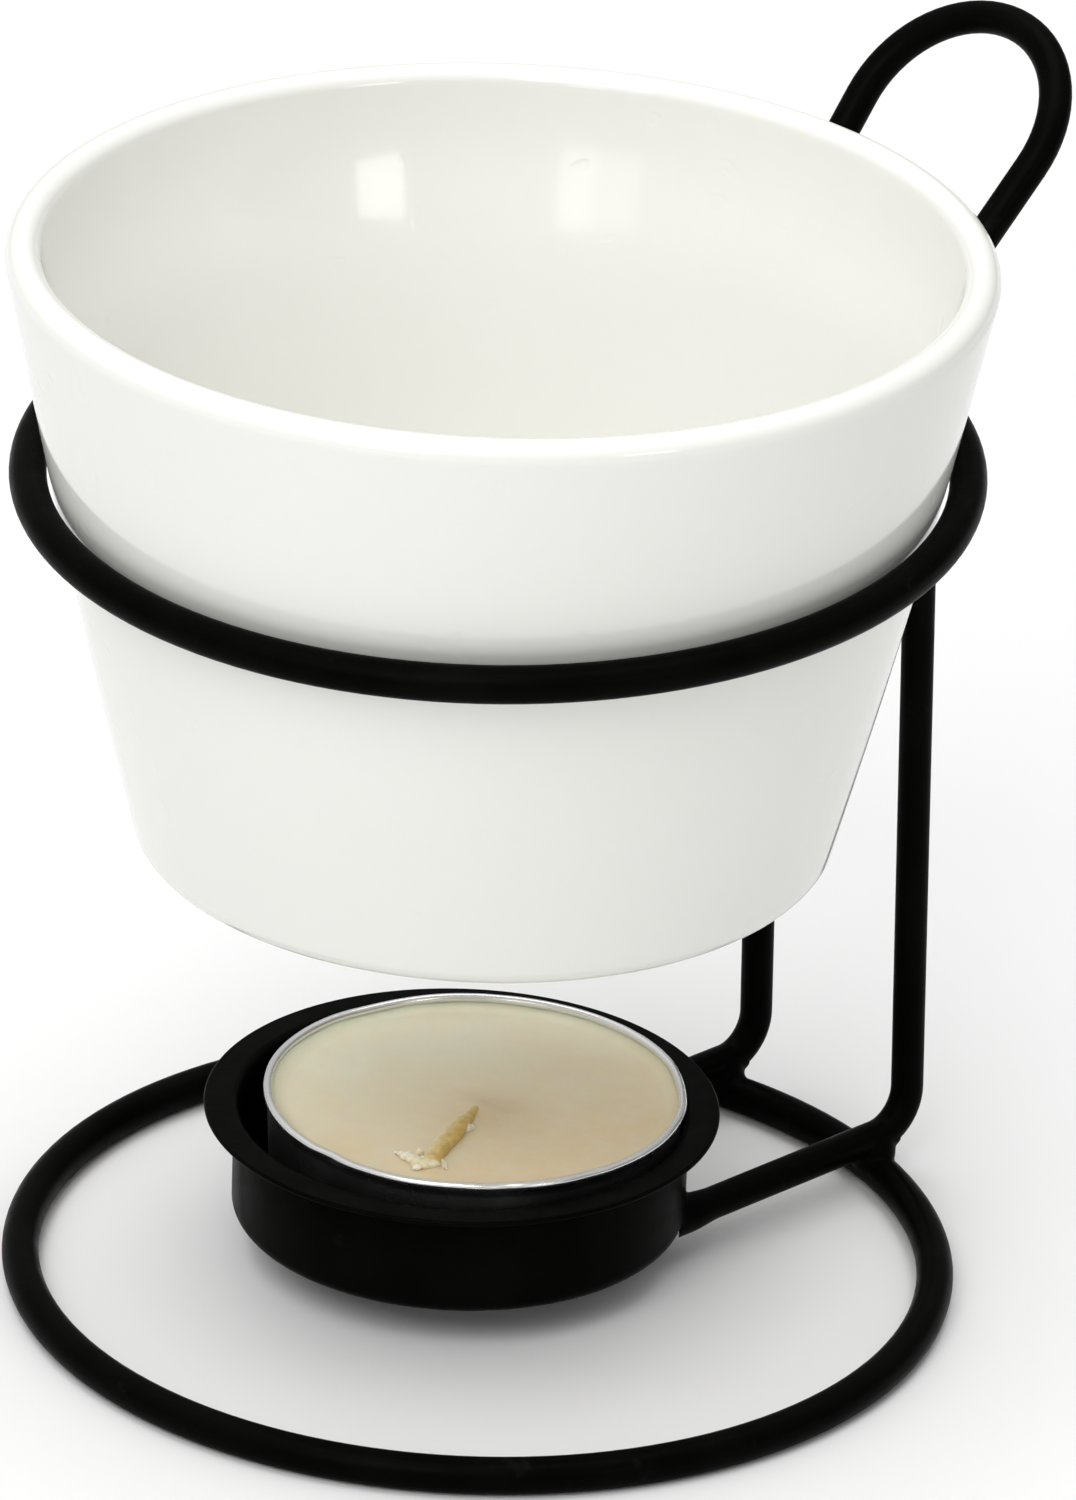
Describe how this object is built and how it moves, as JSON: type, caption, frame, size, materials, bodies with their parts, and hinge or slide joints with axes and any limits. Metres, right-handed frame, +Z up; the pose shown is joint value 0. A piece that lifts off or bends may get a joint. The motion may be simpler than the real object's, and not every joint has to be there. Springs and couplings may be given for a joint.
{
  "type": "fondue mug",
  "caption": "Individual fondue mug: a glazed bowl resting in a bent-wire stand with a teardrop handle loop, over a tealight in a pressed cup",
  "frame": {"origin": "centre of the base ring, on the plane that the stand rests on", "axes": "+Z up, +X towards the handle loop, +Y to the left seen from the handle's far side, across the two uprights"},
  "size_m": [0.1094, 0.0883, 0.11],
  "materials": {
    "white_glaze": "glossy white glaze, slightly warm",
    "black_coated_wire": "satin black coating on steel wire",
    "black_coated_sheet": "satin black coating on pressed steel sheet",
    "thin_aluminium": "thin bright aluminium, a little dented at the rim",
    "cream_wax": "soft cream candle wax with a dull skin",
    "waxed_wick": "tan cotton wick soaked in wax",
    "plain_steel": "thin tinned steel"
  },
  "bodies": {
    "root": {"bowl": "white_glaze", "base_ring": "black_coated_wire", "bowl_ring": "black_coated_wire", "handle_frame": "black_coated_wire", "candle_cup": "black_coated_sheet", "tealight_shell": "thin_aluminium", "candle_wax": "cream_wax", "wick": "waxed_wick", "wick_sustainer": "plain_steel"}
  },
  "joints": []
}
